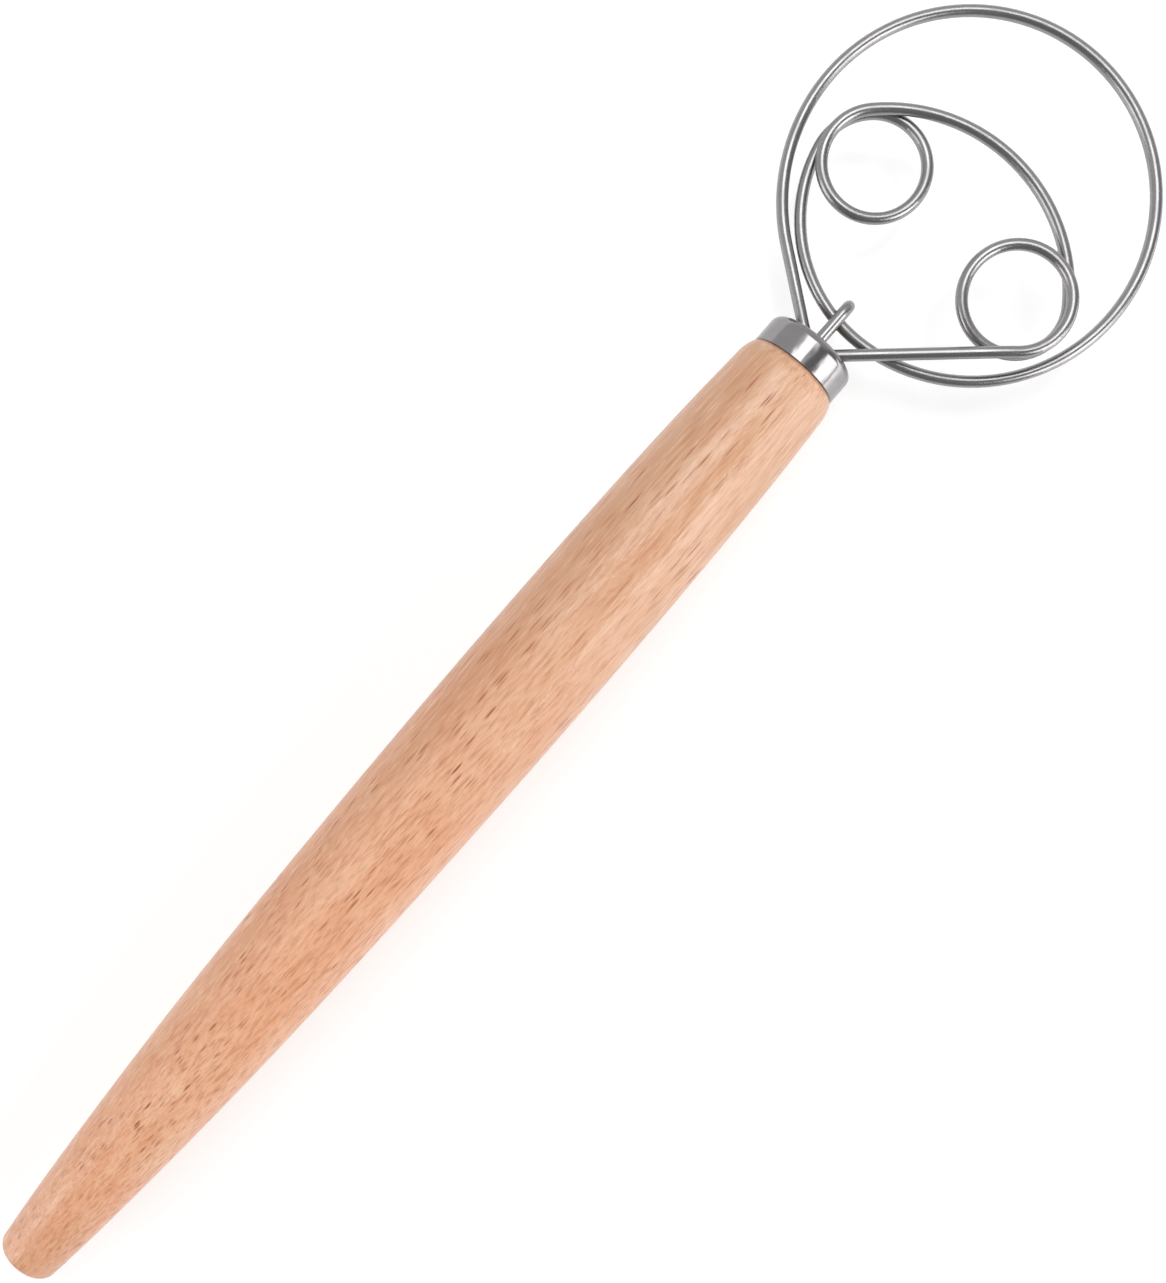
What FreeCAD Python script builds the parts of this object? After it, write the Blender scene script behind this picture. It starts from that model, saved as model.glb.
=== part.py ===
import FreeCAD, Part
import math
import os

Vector = FreeCAD.Vector

# Danish dough whisk, lying flat, head plane level.  Millimetres.
# While it is being built, x = 0 is the end face of the ferrule, +x points to the head,
# y = z = 0 is the turning axis of the handle and +z is the upper side of the whisk.
# place() then moves every piece so that the origin is under the middle of the whole whisk.

# Handle
handle_reach = 254.2        # ferrule face to the flat end of the handle
end_rounding = 1.5          # edge rounding of the flat end, measured along the handle
spigot_radius = 9.8
spigot_length = 7.2        # wood to ferrule joint, measured back from the ferrule face
spigot_rounding = 1.7
shoulder_radius = 10.45     # wood beside the ferrule edge
shoulder_chamfer = 0.25
# Turned outline: distance behind the ferrule face, radius
outline = [(11.2, 11.52), (21.7, 12.1), (38.6, 12.74), (55.5, 13.09), (72.4, 13.27),
           (89.3, 13.33), (114.6, 13.21), (144.1, 12.73), (169.4, 12.09), (194.8, 11.1),
           (220.0, 9.58), (237.0, 8.27), (246.0, 7.42), (handle_reach - end_rounding, 6.68)]
belly_radius = 13.33
bore_radius = 4.0
bore_depth = 46.0
drill_point = 2.3           # cone left by the drill
mouth_radius = 5.5          # countersink and ferrule opening
countersink_depth = 3.6

# Ferrule
ferrule_radius = 10.4
ferrule_wall = 0.6
ferrule_rounding = 2.1

# Wire
wire_diameter = 2.6
wire_radius = wire_diameter / 2
mouth_bend = 3.0            # centreline radius where a leg turns into the bore
tang_end = -42.0

# Heights of the wire above the handle axis
ring_height = -1.1
arc_height = 1.8
top_height = 4.9
right_tang_height = 0.4

# Head, as seen from above: x towards the head, y to the left
ring_centre = Vector(45.82, -4.22, 0)
ring_radius = 39.4
left_eye = Vector(36.95, 15.39, 0)
right_eye = Vector(34.1, -25.5, 0)
eye_radius = 11.35
arc_radius = 38.1           # arc over both eyes
lead_start = -84.7          # direction from the ring centre where the wire turns inward
lead_radius = 38.93
lead_turn = 89.9
spiral_radius = 32.94       # inward run past the ferrule
spiral_close = 13.0         # tighter end of the spiral, into the left eye
leg_curve_radius = 42.22    # left leg blending into the ring
leg_curve_start = 98.8
leg_curve_turn = 43.9
tang_offset = 2.1           # the two tangs left and right of the axis
right_corner_x = -1.1
leg_blend = 8.0             # right leg: vertical bend after the eye

# Hook
hook_height = 2.1
hook_bend = 3.0
hook_tip = 12.5
hook_return = 4.0

# Resin
resin_recess = 0.15


def unit(degrees):
    return Vector(math.cos(math.radians(degrees)), math.sin(math.radians(degrees)), 0)


def angle_of(vector):
    return math.degrees(math.atan2(vector.y, vector.x))


def place(shape):
    """Move a finished piece to the frame: origin under the middle of the whole whisk."""
    head_reach = ring_centre.x + ring_radius + wire_radius
    shape.translate(Vector((handle_reach - head_reach) / 2, -ring_centre.y, belly_radius))
    return shape


def save(shape, name):
    place(shape)
    shape.exportStep("parts/" + name + ".step")
    print(name, "valid", shape.isValid(), "solids", len(shape.Solids), "volume", round(shape.Volume, 1))


def revolve(edges):
    """Turn a closed outline in the x-z half plane round the x axis."""
    face = Part.Face(Part.Wire(edges))
    return face.revolve(Vector(0, 0, 0), Vector(1, 0, 0), 360)


def line(a, b):
    return Part.LineSegment(a, b).toShape()


def corner_arc(start, corner, end):
    """Circular arc tangent to start-corner and corner-end, the two sides being equal."""
    middle = (start + end) / 2
    half = (end - start).Length / 2
    side = (corner - start).Length
    lift = half * math.tan(math.acos(half / side) / 2)
    top = middle + (corner - middle).normalize() * lift
    return Part.Arc(start, top, end).toShape()


def flat_arc(centre, radius, start, turn, height):
    """Arc seen from above, starting at an angle and turning clockwise."""
    up = Vector(0, 0, height)
    a = centre + unit(start) * radius + up
    b = centre + unit(start - turn / 2) * radius + up
    c = centre + unit(start - turn) * radius + up
    return Part.Arc(a, b, c).toShape()


def two_arcs(start, start_dir, end, end_dir):
    """Two tangent arcs that leave start along start_dir and reach end along end_dir."""
    across = end - start
    both = start_dir + end_dir
    spread = 2 * (1 - start_dir.dot(end_dir))
    reach = across.dot(both)
    side = (-reach + math.sqrt(reach * reach + spread * across.dot(across))) / spread
    first_corner = start + start_dir * side
    second_corner = end - end_dir * side
    joint = (first_corner + second_corner) / 2
    return [corner_arc(start, first_corner, joint), corner_arc(joint, second_corner, end)]


def centre_between(first, first_distance, second, second_distance, side):
    """Point at two given distances from two given points, on one side of their line."""
    across = second - first
    gap = across.Length
    along = (gap * gap + first_distance ** 2 - second_distance ** 2) / (2 * gap)
    off = math.sqrt(max(first_distance ** 2 - along ** 2, 0))
    direction = across / gap
    normal = Vector(-direction.y, direction.x, 0)
    return first + direction * along + normal * (side * off)


def climb(arcs, low, high, steps):
    """Clockwise arcs (centre, radius, start, turn) climbing smoothly from low to high.
    Each arc is cut into steps, and each step is two tangent arcs in space."""
    total = sum(radius * math.radians(turn) for centre, radius, start, turn in arcs)
    edges = []
    done = 0
    for (centre, radius, start, turn), count in zip(arcs, steps):
        states = []
        for i in range(count + 1):
            angle = start - turn * i / count
            run = done + radius * math.radians(turn * i / count)
            u = run / total
            height = low + (high - low) * (3 * u * u - 2 * u ** 3)
            slope = (high - low) * 6 * u * (1 - u) / total
            point = centre + unit(angle) * radius + Vector(0, 0, height)
            heading = unit(angle - 90) + Vector(0, 0, slope)
            states.append((point, heading.normalize()))
        for (p, d), (q, e) in zip(states, states[1:]):
            edges += two_arcs(p, d, q, e)
        done += radius * math.radians(turn)
    return edges


def bend(start, corner, end, radius):
    """Straight, arc, straight: the three edges of one bent corner."""
    back = (start - corner).normalize()
    forth = (end - corner).normalize()
    half_turn = (math.pi - back.getAngle(forth)) / 2
    cut = radius * math.tan(half_turn)
    a = corner + back * cut
    b = corner + forth * cut
    return [line(start, a), corner_arc(a, corner, b), line(b, end)]


def tube(edges):
    """Round wire along the path, with its volume checked against section times length."""
    path = Part.Wire(edges)
    first = edges[0]
    start = first.valueAt(first.FirstParameter)
    heading = first.tangentAt(first.FirstParameter)
    section = Part.Wire(Part.makeCircle(wire_radius, start, heading))
    solid = path.makePipe(section)
    if solid.ShapeType != "Solid":
        caps = [Part.Face(section)]
        last = edges[-1]
        end = last.valueAt(last.LastParameter)
        end_heading = last.tangentAt(last.LastParameter)
        caps.append(Part.Face(Part.Wire(Part.makeCircle(wire_radius, end, end_heading))))
        solid = Part.Solid(Part.Shell(solid.Faces + caps))
    expected = math.pi * wire_radius ** 2 * path.Length
    print("tube length", round(path.Length, 1), "volume ratio", round(solid.Volume / expected, 5))
    return solid


def whisk_wire():
    """One wire: left tang, left leg, ring, spiral, left eye, arc, right eye, right leg, right tang."""
    low = Vector(0, 0, ring_height)
    leg_centre = ring_centre + unit(leg_curve_start) * (ring_radius - leg_curve_radius)
    leg_top_angle = leg_curve_start + leg_curve_turn
    leg_top = leg_centre + unit(leg_top_angle) * leg_curve_radius
    leg_dir = unit(leg_top_angle - 90)
    corner = leg_top - leg_dir * ((leg_top.y - tang_offset) / leg_dir.y)
    edges = bend(Vector(tang_end, tang_offset, 0) + low, corner + low, leg_top + low, mouth_bend)
    edges.append(flat_arc(leg_centre, leg_curve_radius, leg_top_angle, leg_curve_turn, ring_height))
    ring_turn = leg_curve_start - lead_start
    edges.append(flat_arc(ring_centre, ring_radius, leg_curve_start, ring_turn, ring_height))
    lead_centre = ring_centre + unit(lead_start) * (ring_radius - lead_radius)
    edges.append(flat_arc(lead_centre, lead_radius, lead_start, lead_turn, ring_height))

    spiral_start = lead_start - lead_turn
    spiral_centre = lead_centre + unit(spiral_start) * (lead_radius - spiral_radius)
    close_centre = centre_between(spiral_centre, spiral_radius - spiral_close,
                                  left_eye, spiral_close - eye_radius, 1)
    spiral_end = angle_of(close_centre - spiral_centre)
    spiral_turn = (spiral_start - spiral_end) % 360
    edges.append(flat_arc(spiral_centre, spiral_radius, spiral_start, spiral_turn, ring_height))

    arc_centre = centre_between(left_eye, arc_radius - eye_radius,
                                right_eye, arc_radius - eye_radius, -1)
    eye_start = angle_of(left_eye - close_centre)
    arc_start = angle_of(left_eye - arc_centre)
    arc_end = angle_of(right_eye - arc_centre)
    left_turn = (eye_start - arc_start) % 360
    if left_turn < 180:
        left_turn += 360
    loop = [(close_centre, spiral_close, spiral_end, spiral_end - eye_start),
            (left_eye, eye_radius, eye_start, left_turn)]
    edges += climb(loop, ring_height, arc_height, [2, 8])
    edges.append(flat_arc(arc_centre, arc_radius, arc_start, arc_start - arc_end, arc_height))

    corner = Vector(right_corner_x, -tang_offset, right_tang_height)
    flat_corner = Vector(corner.x, corner.y, 0)
    to_eye = right_eye - flat_corner
    leg_angle = angle_of(to_eye) - math.degrees(math.asin(eye_radius / to_eye.Length))
    leg_length = math.sqrt(to_eye.Length ** 2 - eye_radius ** 2)
    leave = leg_angle - 90
    right_turn = 360 + (arc_end - leave)
    edges += climb([(right_eye, eye_radius, arc_end, right_turn)], arc_height, top_height, [10])

    fall = (top_height - right_tang_height) / (leg_length - leg_blend / 2)
    leg_dir = unit(leg_angle)
    leg_start = flat_corner + leg_dir * leg_length + Vector(0, 0, top_height)
    straight = flat_corner + leg_dir * (leg_length - leg_blend)
    straight.z = right_tang_height + fall * (leg_length - leg_blend)
    down = (corner - straight).normalize()
    edges += two_arcs(leg_start, leg_dir * -1, straight, down)
    tang = Vector(tang_end, -tang_offset, right_tang_height)
    edges += bend(straight, corner, tang, mouth_bend)
    print("turn of left eye", round(left_turn, 1), "turn of right eye", round(right_turn, 1))
    print("arc centre", arc_centre, "leg angle", round(leg_angle, 1), "fall", round(fall, 3))
    return tube(edges)


def hook_wire():
    """Straight wire over the spiral, folded back under it."""
    bend_x = hook_tip - wire_radius - hook_bend
    lower = hook_height - 2 * hook_bend
    a = Vector(tang_end, 0, hook_height)
    b = Vector(bend_x, 0, hook_height)
    tip = Vector(bend_x + hook_bend, 0, hook_height - hook_bend)
    c = Vector(bend_x, 0, lower)
    d = Vector(bend_x - hook_return, 0, lower)
    return tube([line(a, b), Part.Arc(b, tip, c).toShape(), line(c, d)])


def arc_from(start, direction, end):
    """Arc that leaves start along a direction and passes through end."""
    across = end - start
    side = across.dot(across) / (2 * direction.dot(across))
    return corner_arc(start, start + direction * side, end)


def outline_point(x, radius):
    """Point of a turned outline."""
    return Vector(x, 0, radius)


def handle():
    """Turned handle with its shoulder, spigot, countersink and blind bore."""
    curve = Part.BSplineCurve()
    curve.interpolate([outline_point(-distance, radius) for distance, radius in outline])
    head_end = curve.StartPoint
    butt_end = curve.EndPoint
    head_dir = curve.tangent(curve.FirstParameter)[0] * -1
    butt_dir = curve.tangent(curve.LastParameter)[0]
    butt_corner = butt_end + butt_dir * ((-handle_reach - butt_end.x) / butt_dir.x)
    flat_radius = butt_corner.z - (butt_corner - butt_end).Length
    flat_rim = outline_point(-handle_reach, flat_radius)
    shoulder_end = outline_point(-spigot_length - shoulder_chamfer, shoulder_radius)
    points = [shoulder_end,
              outline_point(-spigot_length, shoulder_radius - shoulder_chamfer),
              outline_point(-spigot_length, spigot_radius),
              outline_point(-ferrule_wall - spigot_rounding, spigot_radius)]
    edges = [line(a, b) for a, b in zip(points, points[1:])]
    spigot_rim = outline_point(-ferrule_wall, spigot_radius - spigot_rounding)
    edges.append(corner_arc(points[-1], outline_point(-ferrule_wall, spigot_radius), spigot_rim))
    points = [spigot_rim,
              outline_point(-ferrule_wall, mouth_radius),
              outline_point(-countersink_depth, bore_radius),
              outline_point(-bore_depth, bore_radius),
              outline_point(-bore_depth - drill_point, 0),
              outline_point(-handle_reach, 0),
              flat_rim]
    edges += [line(a, b) for a, b in zip(points, points[1:])]
    edges.append(corner_arc(flat_rim, butt_corner, butt_end))
    edges.append(curve.toShape())
    edges.append(arc_from(head_end, head_dir, shoulder_end))
    print("radius of the flat end", round(flat_radius, 2))
    return revolve(edges)


def ferrule():
    """Drawn cap: cylinder, rounded shoulder and an end face with a round opening."""
    inner = ferrule_radius - ferrule_wall
    rim = ferrule_radius - ferrule_rounding
    break_edge = 0.15
    points = [outline_point(-ferrule_rounding, inner),
              outline_point(-spigot_length, inner),
              outline_point(-spigot_length, ferrule_radius - break_edge),
              outline_point(-spigot_length + break_edge, ferrule_radius),
              outline_point(-ferrule_rounding, ferrule_radius)]
    edges = [line(a, b) for a, b in zip(points, points[1:])]
    edges.append(corner_arc(points[-1], outline_point(0, ferrule_radius), outline_point(0, rim)))
    points = [outline_point(0, rim),
              outline_point(0, mouth_radius + break_edge),
              outline_point(-break_edge, mouth_radius),
              outline_point(-ferrule_wall, mouth_radius),
              outline_point(-ferrule_wall, rim)]
    edges += [line(a, b) for a, b in zip(points, points[1:])]
    inner_corner = outline_point(-ferrule_wall, inner)
    edges.append(corner_arc(points[-1], inner_corner, outline_point(-ferrule_rounding, inner)))
    return revolve(edges)


def bonding_resin(wires):
    """Cured plug: the bore, the countersink and the ferrule opening less the three wire ends."""
    points = [outline_point(-bore_depth - drill_point, 0),
              outline_point(-bore_depth, bore_radius),
              outline_point(-countersink_depth, bore_radius),
              outline_point(-ferrule_wall, mouth_radius),
              outline_point(-resin_recess, mouth_radius),
              outline_point(-resin_recess, 0)]
    edges = [line(a, b) for a, b in zip(points, points[1:] + points[:1])]
    plug = revolve(edges)
    for wire in wires:
        plug = plug.cut(wire)
    if len(plug.Solids) == 1:
        return plug.Solids[0]
    return plug


os.makedirs("parts", exist_ok=True)
whisk = whisk_wire()
hook = hook_wire()
print("wires share", round(whisk.common(hook).Volume, 3))
save(handle(), "handle")
save(ferrule(), "ferrule")
save(bonding_resin([whisk, hook]), "bonding_resin")
save(whisk, "whisk_wire")
save(hook, "hook_wire")
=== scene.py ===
import math

import bmesh
import bpy
from mathutils import Matrix, Vector


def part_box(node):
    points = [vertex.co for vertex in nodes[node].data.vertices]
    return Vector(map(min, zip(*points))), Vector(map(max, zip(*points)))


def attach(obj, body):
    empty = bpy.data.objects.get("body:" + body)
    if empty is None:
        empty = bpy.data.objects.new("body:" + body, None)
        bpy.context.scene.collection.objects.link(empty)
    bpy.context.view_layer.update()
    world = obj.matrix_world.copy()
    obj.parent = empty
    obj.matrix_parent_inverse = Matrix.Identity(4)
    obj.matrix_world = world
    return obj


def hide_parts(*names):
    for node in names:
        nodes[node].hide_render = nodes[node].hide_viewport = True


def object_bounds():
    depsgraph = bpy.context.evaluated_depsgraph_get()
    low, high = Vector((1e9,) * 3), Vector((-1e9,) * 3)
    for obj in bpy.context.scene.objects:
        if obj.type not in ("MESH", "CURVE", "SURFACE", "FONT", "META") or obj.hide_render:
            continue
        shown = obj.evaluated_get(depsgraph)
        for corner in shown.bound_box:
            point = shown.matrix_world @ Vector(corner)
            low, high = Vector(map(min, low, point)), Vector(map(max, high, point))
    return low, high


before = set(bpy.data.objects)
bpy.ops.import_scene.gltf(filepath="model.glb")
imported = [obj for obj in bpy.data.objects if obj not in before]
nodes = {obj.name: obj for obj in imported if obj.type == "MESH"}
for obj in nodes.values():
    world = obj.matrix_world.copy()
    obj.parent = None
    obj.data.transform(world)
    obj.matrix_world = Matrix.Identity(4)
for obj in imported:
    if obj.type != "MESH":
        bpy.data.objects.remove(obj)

cad_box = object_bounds()
MM = 0.001

# Places read from the frame
ferrule_low, ferrule_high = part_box("ferrule")
handle_low, handle_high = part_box("handle")
FACE_X = ferrule_high.x                                  # end face of the ferrule
AXIS = Vector((0, (ferrule_low.y + ferrule_high.y) / 2, (ferrule_low.z + ferrule_high.z) / 2))
HEAD = Vector((FACE_X, AXIS.y, AXIS.z))                  # where the head leaves the ferrule


# ---------------------------------------------------------------- node helpers
class Graph:
    """Small wrapper that makes material node graphs short to write."""

    def __init__(self, name):
        self.material = bpy.data.materials.new(name)
        self.material.use_nodes = True
        self.tree = self.material.node_tree
        self.tree.nodes.clear()
        self.out = self.tree.nodes.new("ShaderNodeOutputMaterial")
        self.shader = self.tree.nodes.new("ShaderNodeBsdfPrincipled")
        self.link(self.shader.outputs[0], self.out.inputs["Surface"])
        self.coords = self.tree.nodes.new("ShaderNodeTexCoord").outputs["Object"]

    def link(self, a, b):
        self.tree.links.new(a, b)

    def put(self, value, socket):
        if isinstance(value, bpy.types.NodeSocket):
            self.link(value, socket)
        elif value is not None:
            socket.default_value = value

    def mapping(self, vector, scale=(1, 1, 1), rotation=(0, 0, 0), location=(0, 0, 0)):
        node = self.tree.nodes.new("ShaderNodeMapping")
        self.link(vector, node.inputs["Vector"])
        node.inputs["Scale"].default_value = scale
        node.inputs["Rotation"].default_value = rotation
        node.inputs["Location"].default_value = location
        return node.outputs[0]

    def noise(self, vector, detail=2.0, rough=0.5):
        node = self.tree.nodes.new("ShaderNodeTexNoise")
        self.link(vector, node.inputs["Vector"])
        node.inputs["Scale"].default_value = 1.0
        node.inputs["Detail"].default_value = detail
        node.inputs["Roughness"].default_value = rough
        return node.outputs["Fac"]

    def voronoi(self, vector):
        node = self.tree.nodes.new("ShaderNodeTexVoronoi")
        self.link(vector, node.inputs["Vector"])
        node.inputs["Scale"].default_value = 1.0
        return node.outputs["Distance"], node.outputs["Color"]

    def math(self, operation, a, b=None, clamp=False):
        node = self.tree.nodes.new("ShaderNodeMath")
        node.operation = operation
        node.use_clamp = clamp
        self.put(a, node.inputs[0])
        self.put(b, node.inputs[1])
        return node.outputs[0]

    def range(self, value, low, high, to_low=0.0, to_high=1.0, smooth=False):
        node = self.tree.nodes.new("ShaderNodeMapRange")
        if smooth:
            node.interpolation_type = "SMOOTHSTEP"
        self.put(value, node.inputs["Value"])
        self.put(low, node.inputs["From Min"])
        self.put(high, node.inputs["From Max"])
        self.put(to_low, node.inputs["To Min"])
        self.put(to_high, node.inputs["To Max"])
        return node.outputs["Result"]

    def mix(self, factor, a, b, blend="MIX"):
        node = self.tree.nodes.new("ShaderNodeMix")
        node.data_type = "RGBA"
        node.blend_type = blend
        self.put(factor, node.inputs[0])
        self.put(a, node.inputs[6])
        self.put(b, node.inputs[7])
        return node.outputs[2]

    def bump(self, height, distance, normal=None):
        node = self.tree.nodes.new("ShaderNodeBump")
        node.inputs["Strength"].default_value = 1.0
        node.inputs["Distance"].default_value = distance
        self.link(height, node.inputs["Height"])
        if normal is not None:
            self.link(normal, node.inputs["Normal"])
        return node.outputs[0]

    def set(self, **values):
        for name, value in values.items():
            self.put(value, self.shader.inputs[name.replace("_", " ")])


def srgb(r, g, b):
    """Linear colour from 0-255 display values."""
    def one(v):
        v /= 255
        return v / 12.92 if v <= 0.04045 else ((v + 0.055) / 1.055) ** 2.4
    return (one(r), one(g), one(b), 1.0)


# ------------------------------------------------------------------- materials
def wood_grain(g, along):
    """Coordinates that run with the grain. It leaves the surface more and more steeply towards
    the butt, so vessels are cut long near the ferrule and short at the butt."""
    rest = g.math("SUBTRACT", 1.0, along)
    squeeze = g.math("MULTIPLY", g.math("POWER", rest, 3.0), -0.17)
    wander = g.noise(g.mapping(g.coords, scale=(20, 90, 90)), detail=1.0)
    sway = g.math("MULTIPLY", g.math("SUBTRACT", wander, 0.5), 0.0007)
    shift = g.tree.nodes.new("ShaderNodeCombineXYZ")
    g.link(squeeze, shift.inputs["X"])
    g.link(sway, shift.inputs["Y"])
    g.link(sway, shift.inputs["Z"])
    bent = g.tree.nodes.new("ShaderNodeVectorMath")
    bent.operation = "ADD"
    g.link(g.mapping(g.coords, rotation=(0, math.radians(-1.5), math.radians(0.8))), bent.inputs[0])
    g.link(shift.outputs[0], bent.inputs[1])
    return bent.outputs[0]


def wood_tone(g, grain, along, across):
    """Slow colour changes of the wood from the ferrule to the butt, and painted shade that darkens the +Y
    side.
    """
    cloud = g.noise(g.mapping(g.coords, scale=(38, 95, 95)), detail=3.0, rough=0.6)
    band = g.noise(g.mapping(grain, scale=(9, 260, 260)), detail=3.0, rough=0.6)
    head = g.mix(g.range(cloud, 0.36, 0.66), srgb(229, 184, 152), srgb(220, 168, 131))
    butt = g.mix(g.range(cloud, 0.36, 0.66), srgb(242, 186, 151), srgb(238, 173, 135))
    tone = g.mix(g.range(along, 0.35, 0.9, smooth=True), butt, head)
    tone = g.mix(g.range(band, 0.52, 0.70, 0.0, 0.30), tone, srgb(214, 157, 119))
    tone = g.mix(g.range(band, 0.48, 0.30, 0.0, 0.35), tone, srgb(246, 207, 176))

    # painted shade: the +Y side of the handle, turned away from the key light, is darkened
    painted_shade_left = g.range(across, AXIS.y - 0.001, AXIS.y + 0.0105, smooth=True)
    tone = g.mix(painted_shade_left, tone, (0.755, 0.72, 0.675, 1), "MULTIPLY")
    # the tapered butt cuts across the fibres and is a little darker too
    taper = g.range(along, 0.11, 0.0, smooth=True)
    return g.mix(taper, tone, (0.90, 0.885, 0.875, 1), "MULTIPLY")


def wood_vessels(g, grain):
    """Short dark lines: one in each long thin cell, darker and thicker in some regions than in others."""
    crowd = g.noise(g.mapping(g.coords, scale=(34, 130, 130), location=(3, 1, 7)), detail=2.0)
    crowding = g.range(crowd, 0.42, 0.62, 0.30, 1.10)
    marks = []
    for scale, size, place in (((105, 1250, 1250), 0.36, (0, 0, 0)), ((62, 820, 820), 0.24, (5, 9, 2))):
        distance, cell = g.voronoi(g.mapping(grain, scale=scale, location=place))
        chance = g.tree.nodes.new("ShaderNodeSeparateColor")
        g.link(cell, chance.inputs[0])
        darkness = g.math("MULTIPLY", g.range(chance.outputs[0], 0.10, 0.95), crowding)
        marks.append(g.math("MULTIPLY", g.range(distance, size, size * 0.45), darkness))
    return g.math("MAXIMUM", marks[0], marks[1])


def wood_material():
    """Pale rubberwood under thin satin lacquer, with open vessels as short dark lines."""
    g = Graph("rubberwood")
    place = g.tree.nodes.new("ShaderNodeSeparateXYZ")
    g.link(g.coords, place.inputs[0])
    along = g.range(place.outputs["X"], handle_low.x, FACE_X)
    grain = wood_grain(g, along)
    tone = wood_tone(g, grain, along, place.outputs["Y"])

    # fine fibre streaks
    fibre = g.noise(g.mapping(grain, scale=(130, 1500, 1500)), detail=3.0, rough=0.6)
    fine = g.noise(g.mapping(grain, scale=(290, 3300, 3300), location=(2, 5, 1)), detail=1.0)
    strength = g.range(along, 0.35, 0.9, 1.25, 1.1)
    for streak, high, most, shade in ((fibre, 0.70, 0.50, srgb(194, 125, 84)),
                                      (fine, 0.75, 0.36, srgb(196, 127, 86))):
        amount = g.math("MULTIPLY", g.range(streak, 0.50, high, 0.0, most), strength)
        tone = g.mix(amount, tone, shade)
    tone = g.mix(g.range(fibre, 0.45, 0.28, 0.0, 0.34), tone, srgb(248, 211, 180))

    vessels = wood_vessels(g, grain)
    tone = g.mix(g.math("MULTIPLY", vessels, 0.88, clamp=True), tone, srgb(160, 82, 40))

    # a thin dark line where the shoulder meets the ferrule
    joint = g.range(place.outputs["X"], ferrule_low.x - 0.0009, ferrule_low.x - 0.0001, 0.0, 0.65)
    tone = g.mix(joint, tone, srgb(92, 58, 40))

    # lacquer: sinks into the vessels and ripples over the fibres
    ripple = g.noise(g.mapping(grain, scale=(190, 700, 700)), detail=3.0, rough=0.65)
    height = g.math("SUBTRACT", ripple, g.math("MULTIPLY", vessels, 0.45))
    height = g.math("ADD", height, g.math("MULTIPLY", fibre, 0.25))
    wave = g.noise(g.mapping(g.coords, scale=(110, 420, 420)), detail=4.0, rough=0.7)
    film = g.math("ADD", wave, g.math("MULTIPLY", height, 0.4))
    g.set(Base_Color=tone, Metallic=0.0, IOR=1.48, Specular_IOR_Level=0.2,
          Roughness=g.range(ripple, 0.3, 0.7, 0.40, 0.52), Normal=g.bump(height, 0.00010),
          Coat_Weight=0.52, Coat_Roughness=0.15, Coat_IOR=1.7, Coat_Normal=g.bump(film, 0.00030))
    return g.material


def steel_material(name, tint, rough, line_scale, dents):
    """Polished stainless steel with faint rub marks, drawing lines and shallow dents (in metres)."""
    g = Graph(name)
    cloud = g.noise(g.mapping(g.coords, scale=(160, 160, 160)), detail=4.0, rough=0.6)
    lines = g.noise(g.mapping(g.coords, scale=line_scale), detail=3.0, rough=0.65)
    bright = tuple(v * 1.06 for v in tint) + (1,)
    dull = tuple(v * 0.9 for v in tint) + (1,)
    height = g.math("ADD", g.math("MULTIPLY", lines, 0.7), g.math("MULTIPLY", cloud, 0.3))
    uneven = g.noise(g.mapping(g.coords, scale=(300, 420, 420), location=(1, 4, 2)), detail=1.0)
    rubbed = g.math("ADD", cloud, g.math("MULTIPLY", lines, 0.4))
    g.set(Base_Color=g.mix(g.range(cloud, 0.3, 0.75), bright, dull), Metallic=1.0,
          Normal=g.bump(height, 0.000006, normal=g.bump(uneven, dents)),
          Roughness=g.range(rubbed, 0.4, 1.0, rough * 0.8, rough * 1.35))
    return g.material


def resin_material():
    """Cured adhesive, honey coloured, slightly glossy, with small voids."""
    g = Graph("cured_resin")
    cloud = g.noise(g.mapping(g.coords, scale=(300, 300, 300)), detail=3.0)
    distance = g.voronoi(g.mapping(g.coords, scale=(900, 900, 900)))[0]
    pit = g.range(distance, 0.12, 0.28)
    tone = g.mix(g.range(cloud, 0.3, 0.7), srgb(150, 132, 100), srgb(176, 158, 124))
    tone = g.mix(pit, srgb(110, 92, 66), tone)
    g.set(Base_Color=tone, Roughness=g.range(cloud, 0.3, 0.7, 0.3, 0.5), Normal=g.bump(pit, 0.00008))
    return g.material


def floor_material():
    """White back-lit acrylic sheet with a trace of unevenness."""
    g = Graph("white_sheet")
    cloud = g.noise(g.mapping(g.coords, scale=(3, 3, 3)), detail=2.0)
    tone = g.mix(cloud, (0.40, 0.40, 0.40, 1), (0.42, 0.42, 0.42, 1))
    g.set(Base_Color=tone, Roughness=0.25, Specular_IOR_Level=0.4,
          Emission_Color=(1, 1, 1, 1), Emission_Strength=0.65)
    return g.material


def assign(obj, material):
    obj.data.materials.clear()
    obj.data.materials.append(material)


# -------------------------------------------------------------------- handle
# Turned outline of the wood, behind the ferrule face: (distance, radius) in millimetres
OUTLINE = [(11.2, 11.52), (21.7, 12.1), (38.6, 12.74), (55.5, 13.09), (72.4, 13.27), (89.3, 13.33),
           (114.6, 13.21), (144.1, 12.73), (169.4, 12.09), (194.8, 11.1), (220.0, 9.58),
           (237.0, 8.27), (246.0, 7.42), (252.7, 6.68)]
OUTLINE_STEP = 3.0
TURN_SEGMENTS = 128

# Ends of the wood, in millimetres, as the CAD handle has them
FERRULE_WALL = 0.6
SPIGOT_RADIUS = 9.8
SPIGOT_ROUNDING = 1.7
SHOULDER_RADIUS = 10.45
SHOULDER_CHAMFER = 0.25
MOUTH_RADIUS = 5.5
COUNTERSINK_DEPTH = 3.6
BORE_RADIUS = 4.0
BORE_DEPTH = 46.0
DRILL_POINT = 2.3


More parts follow.
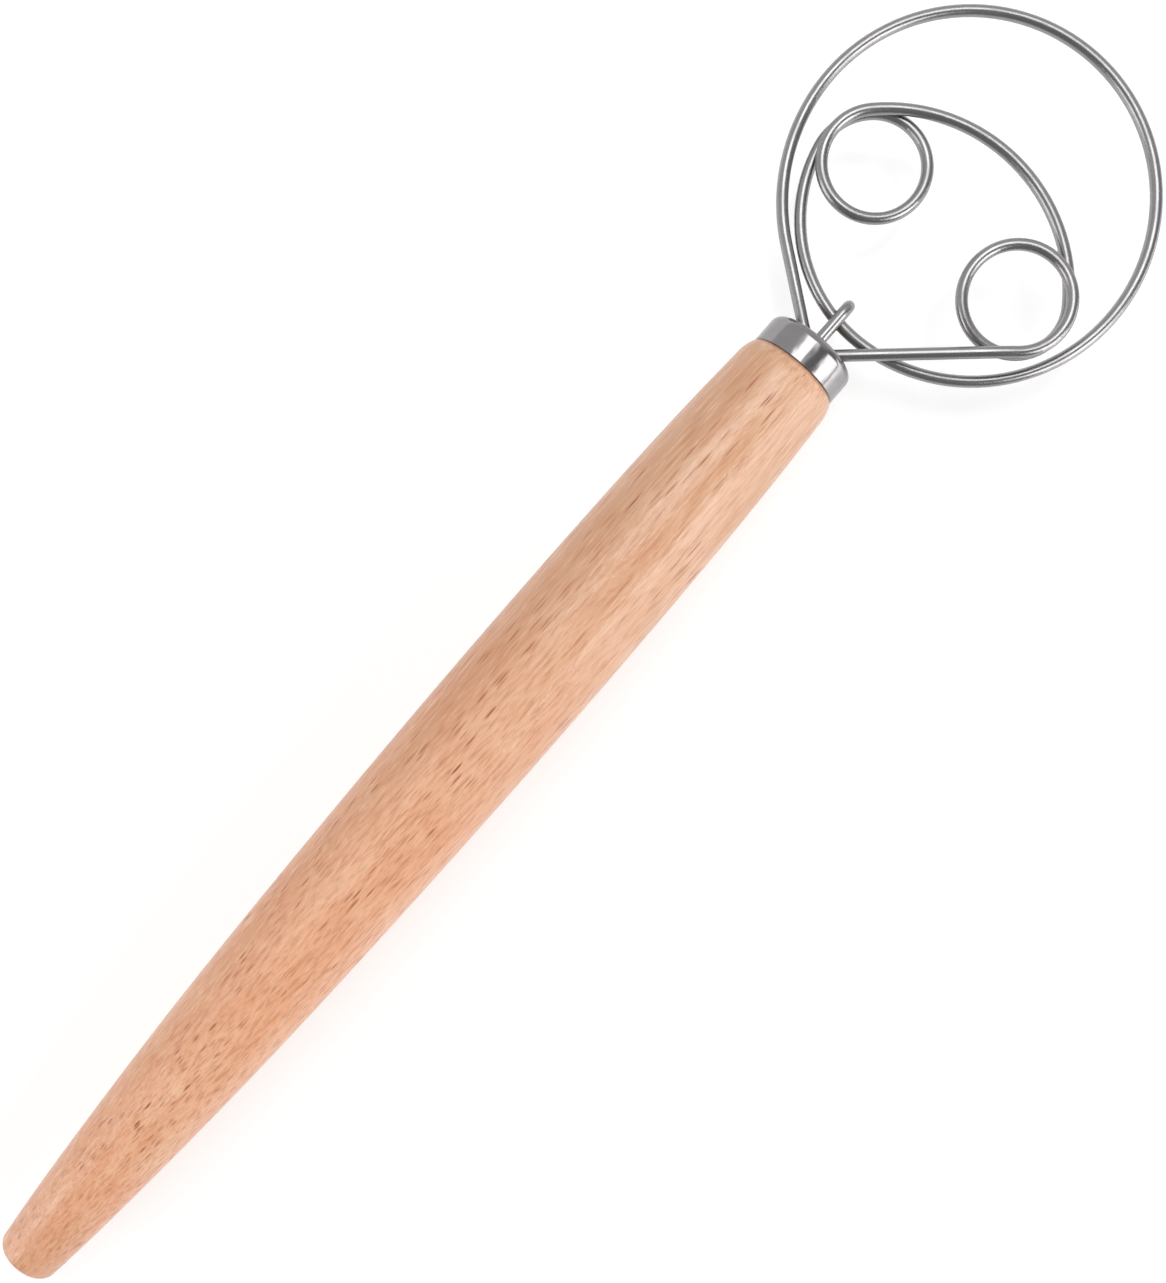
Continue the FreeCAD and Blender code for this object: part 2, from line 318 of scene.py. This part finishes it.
def natural_spline(points, step):
    """Smooth curve through points (x rising), sampled about every step."""
    n = len(points)
    h = [points[i + 1][0] - points[i][0] for i in range(n - 1)]
    slope = [(points[i + 1][1] - points[i][1]) / h[i] for i in range(n - 1)]
    upper, rhs = [0.0] * n, [0.0] * n
    for i in range(1, n - 1):
        pivot = 2 * (h[i - 1] + h[i]) - h[i - 1] * upper[i - 1]
        upper[i] = h[i] / pivot
        rhs[i] = (6 * (slope[i] - slope[i - 1]) - h[i - 1] * rhs[i - 1]) / pivot
    second = [0.0] * n
    for i in range(n - 2, 0, -1):
        second[i] = rhs[i] - upper[i] * second[i + 1]
    samples = []
    for i in range(n - 1):
        count = max(1, round(h[i] / step))
        for k in range(count):
            x = points[i][0] + h[i] * k / count
            a, b = points[i + 1][0] - x, x - points[i][0]
            y = (second[i] * a ** 3 + second[i + 1] * b ** 3) / (6 * h[i])
            y += (points[i][1] / h[i] - second[i] * h[i] / 6) * a
            y += (points[i + 1][1] / h[i] - second[i + 1] * h[i] / 6) * b
            samples.append((x, y))
    samples.append(points[-1])
    return samples


def angle_between(a, corner, b):
    u = Vector((a[0] - corner[0], a[1] - corner[1]))
    v = Vector((b[0] - corner[0], b[1] - corner[1]))
    return u.angle(v)


def arc_points(start, corner, end, count):
    """Points between both ends of the arc that rounds a corner with two equal sides."""
    out = []
    weight = math.cos((math.pi - angle_between(start, corner, end)) / 2)
    for i in range(1, count):
        t = i / count
        b0, b1, b2 = (1 - t) ** 2, 2 * t * (1 - t) * weight, t * t
        total = b0 + b1 + b2
        out.append(tuple((b0 * s + b1 * c + b2 * e) / total for s, c, e in zip(start, corner, end)))
    return out


def corner_before(start, ahead, end):
    """Corner of the arc that ends at start, in line with ahead, and begins at end."""
    tilt = math.atan((ahead[1] - start[1]) / (ahead[0] - start[0]))
    dx, dr = start[0] - end[0], end[1] - start[1]
    reach = (dx * dx + dr * dr) / (2 * (dx * math.cos(tilt) - dr * math.sin(tilt)))
    return (start[0] - reach * math.cos(tilt), start[1] - reach * math.sin(tilt))


def lathe(name, profile, segments):
    """Closed turned body. profile: (distance behind the ferrule face, radius) in mm, ends on the axis."""
    mesh = bpy.data.meshes.new(name)
    bm = bmesh.new()
    rings = []
    for distance, radius in profile:
        x = FACE_X - distance * MM
        if radius < 1e-6:
            rings.append([bm.verts.new((x, AXIS.y, AXIS.z))])
            continue
        ring = []
        for i in range(segments):
            a = 2 * math.pi * i / segments
            y = AXIS.y + radius * MM * math.cos(a)
            z = AXIS.z + radius * MM * math.sin(a)
            ring.append(bm.verts.new((x, y, z)))
        rings.append(ring)
    for one, two in zip(rings, rings[1:]):
        for i in range(segments):
            j = (i + 1) % segments
            quad = [one[i % len(one)], one[j % len(one)], two[j % len(two)], two[i % len(two)]]
            bm.faces.new(list(dict.fromkeys(quad)))
    bmesh.ops.recalc_face_normals(bm, faces=bm.faces)
    for face in bm.faces:
        face.smooth = True
    bm.to_mesh(mesh)
    bm.free()
    obj = bpy.data.objects.new(name, mesh)
    bpy.context.scene.collection.objects.link(obj)
    return obj


def bore_profile():
    """From the bottom of the blind bore out to the countersink's rim."""
    return [(BORE_DEPTH + DRILL_POINT, 0.0), (BORE_DEPTH, BORE_RADIUS),
            (COUNTERSINK_DEPTH, BORE_RADIUS), (FERRULE_WALL, MOUTH_RADIUS)]


def spigot_profile(spigot_length):
    """Rounded spigot and the step out to the shoulder."""
    rim = (FERRULE_WALL, SPIGOT_RADIUS - SPIGOT_ROUNDING)
    side = (FERRULE_WALL + SPIGOT_ROUNDING, SPIGOT_RADIUS)
    points = [rim] + arc_points(rim, (FERRULE_WALL, SPIGOT_RADIUS), side, 6) + [side]
    return points + [(spigot_length, SPIGOT_RADIUS), (spigot_length, SHOULDER_RADIUS - SHOULDER_CHAMFER)]


def butt_profile(before, last, length):
    """Rounded edge and flat end of the butt, after the last two points of the outline."""
    slope = (last[1] - before[1]) / (last[0] - before[0])
    corner = (length, last[1] + slope * (length - last[0]))
    side = math.hypot(corner[0] - last[0], corner[1] - last[1])
    flat_rim = (length, corner[1] - side)
    return arc_points(last, corner, flat_rim, 12) + [flat_rim, (length, flat_rim[1] * 0.5), (length, 0.0)]


def build_handle():
    spigot_length = (ferrule_high.x - ferrule_low.x) / MM
    length = (FACE_X - handle_low.x) / MM
    spline = natural_spline(OUTLINE, OUTLINE_STEP)
    shoulder = (spigot_length + SHOULDER_CHAMFER, SHOULDER_RADIUS)
    shoulder_corner = corner_before(spline[0], spline[1], shoulder)
    profile = bore_profile() + spigot_profile(spigot_length) + [shoulder]
    profile += arc_points(shoulder, shoulder_corner, spline[0], 10)
    profile += spline
    profile += butt_profile(spline[-2], spline[-1], length)
    return lathe("turned_handle", profile, TURN_SEGMENTS)


handle = build_handle()
assign(handle, wood_material())
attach(handle, "root")
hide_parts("handle")

ferrule_steel = steel_material("ferrule_steel", (0.298, 0.287, 0.291), 0.17, (60, 900, 900), 0.00009)
assign(nodes["ferrule"], ferrule_steel)
wire_steel = steel_material("wire_steel", (0.322, 0.315, 0.321), 0.255, (500, 500, 500), 0.00003)
assign(nodes["whisk_wire"], wire_steel)
assign(nodes["hook_wire"], wire_steel)
assign(nodes["bonding_resin"], resin_material())


# --------------------------------------------------------------------- studio
LIGHT_DISTANCE = 1.4                                     # metres from the head
PALE_SIDE = (0.5, 0.87, 0)                               # towards the pale studio walls
DIM_WALL = 0.36
PALE_WALL = 0.95
FLOOR_RADIUS = 3.0
FLOOR_GAP = 0.0002                                       # keeps the floor off the lowest point
CAMERA_HEIGHT = 0.300                                    # above the handle's axis
VIEW_WIDTH = 0.2707                                      # seen by the camera at that height
VIEW_CENTRE = (-0.07908, -0.00383)                       # from the middle of the ferrule face
VIEW_TILT = 49.136                                       # slope of the handle in the picture


def aim(theta, azimuth):
    """Direction at theta degrees from straight up; azimuth 0 is +X and 90 is +Y."""
    t, a = math.radians(theta), math.radians(azimuth)
    return Vector((math.sin(t) * math.cos(a), math.sin(t) * math.sin(a), math.cos(t)))


def area_light(name, direction, wide, high, radiance, colour=(1, 1, 1), side=None):
    """Soft box facing the head of the whisk; wide runs level, or along side where it is given."""
    data = bpy.data.lights.new(name, "AREA")
    data.shape = "RECTANGLE"
    data.size = wide
    data.size_y = high
    data.color = colour
    data.energy = radiance * math.pi * wide * high
    light = bpy.data.objects.new(name, data)
    x = Vector((-direction.y, direction.x, 0)) if side is None else side
    x = (x - direction * x.dot(direction)).normalized()
    rotation = Matrix((x, direction.cross(x), direction)).transposed().to_4x4()
    light.matrix_world = Matrix.Translation(HEAD + direction * LIGHT_DISTANCE) @ rotation
    bpy.context.scene.collection.objects.link(light)


def studio_world():
    """Studio walls: pale to the left and ahead of the head, dim behind the butt and to the right."""
    world = bpy.data.worlds.new("studio")
    bpy.context.scene.world = world
    world.use_nodes = True
    tree = world.node_tree
    tree.nodes.clear()
    out = tree.nodes.new("ShaderNodeOutputWorld")
    back = tree.nodes.new("ShaderNodeBackground")
    tree.links.new(back.outputs[0], out.inputs["Surface"])
    coords = tree.nodes.new("ShaderNodeTexCoord").outputs["Generated"]
    dot = tree.nodes.new("ShaderNodeVectorMath")
    dot.operation = "DOT_PRODUCT"
    dot.inputs[1].default_value = PALE_SIDE
    tree.links.new(coords, dot.inputs[0])
    ramp = tree.nodes.new("ShaderNodeMapRange")
    ramp.interpolation_type = "SMOOTHSTEP"
    ramp.inputs["From Min"].default_value = -0.15
    ramp.inputs["From Max"].default_value = 0.35
    ramp.inputs["To Min"].default_value = DIM_WALL
    ramp.inputs["To Max"].default_value = PALE_WALL
    tree.links.new(dot.outputs["Value"], ramp.inputs["Value"])
    tree.links.new(ramp.outputs["Result"], back.inputs["Strength"])


def build_floor():
    mesh = bpy.data.meshes.new("floor")
    bm = bmesh.new()
    bmesh.ops.create_circle(bm, cap_ends=True, segments=96, radius=FLOOR_RADIUS)
    bm.to_mesh(mesh)
    bm.free()
    obj = bpy.data.objects.new("floor", mesh)
    obj.location.z = cad_box[0][2] - FLOOR_GAP
    bpy.context.scene.collection.objects.link(obj)
    return obj


def build_camera():
    """Straight down on the head's plane, above the middle of the whisk."""
    data = bpy.data.cameras.new("camera")
    data.sensor_width = 36.0
    data.lens = data.sensor_width * CAMERA_HEIGHT / VIEW_WIDTH
    data.clip_start = 0.01
    data.clip_end = 20.0
    cam = bpy.data.objects.new("camera", data)
    tilt = math.radians(VIEW_TILT)
    right = Vector((math.cos(tilt), -math.sin(tilt), 0))
    up = Vector((math.sin(tilt), math.cos(tilt), 0))
    rotation = Matrix((right, up, right.cross(up))).transposed().to_4x4()
    place = HEAD + Vector((VIEW_CENTRE[0], VIEW_CENTRE[1], CAMERA_HEIGHT))
    cam.matrix_world = Matrix.Translation(place) @ rotation
    bpy.context.scene.collection.objects.link(cam)
    bpy.context.scene.camera = cam


area_light("soft_box_right", aim(57.0, -79.2), 0.79, 0.82, 3.8, (1.0, 0.99, 0.98))
area_light("low_screen_right", aim(85, -68), 1.5, 0.24, 2.8)
area_light("soft_box_left", aim(72, 151), 0.66, 0.89, 2.4)
area_light("soft_box_top", aim(21.2, 34.4), 0.80, 0.78, 3.1, side=Vector((1, 0, 0)))
studio_world()

floor = build_floor()
assign(floor, floor_material())

build_camera()
scene = bpy.context.scene
scene.view_settings.view_transform = "Standard"
scene.view_settings.look = "None"
